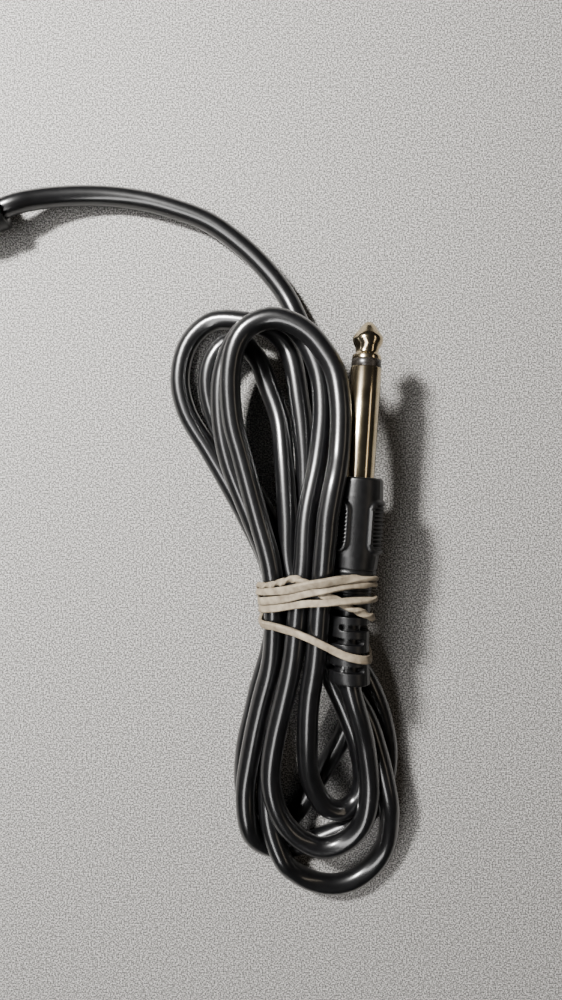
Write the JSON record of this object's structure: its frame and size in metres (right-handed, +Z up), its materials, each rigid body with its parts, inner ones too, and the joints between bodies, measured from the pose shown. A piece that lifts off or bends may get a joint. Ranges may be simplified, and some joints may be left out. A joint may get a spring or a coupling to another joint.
{
  "type": "instrument cable",
  "caption": "Black audio cord with moulded quarter-inch mono plugs, folded into a hank that a rubber band ties together with one plug.",
  "frame": {"origin": "on the table under the middle of the rubber band", "axes": "+Z up from the table, +Y along the hank towards the tip of the plug tied to it, +X to the right seen from above"},
  "size_m": [0.1558, 0.1571, 0.0217],
  "materials": {
    "jacket": "gloss",
    "moulding": "matte",
    "contact_metal": "polished",
    "insulator": "satin",
    "insulator_white": "gloss",
    "terminal_metal": "tinned",
    "washer_board": "matte",
    "solder_metal": "satin",
    "copper": "bare",
    "inner_plastic": "matte",
    "band": "matte"
  },
  "bodies": {
    "root": {"cord_hank": "jacket", "cord_lead": "jacket", "rubber_band": "band", "plug_a_tip": "contact_metal", "plug_a_tip_ring": "insulator", "plug_a_sleeve": "contact_metal", "plug_a_liner": "insulator_white", "plug_a_ground_lug": "terminal_metal", "plug_a_washer": "washer_board", "plug_a_tip_lug": "terminal_metal", "plug_a_solder": "solder_metal", "plug_a_core": "copper", "plug_a_dielectric": "insulator_white", "plug_a_shield": "copper", "plug_a_cord_end": "jacket", "plug_a_inner_mould": "inner_plastic", "plug_a_body": "moulding", "plug_b_tip": "contact_metal", "plug_b_tip_ring": "insulator", "plug_b_sleeve": "contact_metal", "plug_b_liner": "insulator_white", "plug_b_ground_lug": "terminal_metal", "plug_b_washer": "washer_board", "plug_b_tip_lug": "terminal_metal", "plug_b_solder": "solder_metal", "plug_b_core": "copper", "plug_b_dielectric": "insulator_white", "plug_b_shield": "copper", "plug_b_cord_end": "jacket", "plug_b_inner_mould": "inner_plastic", "plug_b_body": "moulding"}
  },
  "joints": []
}
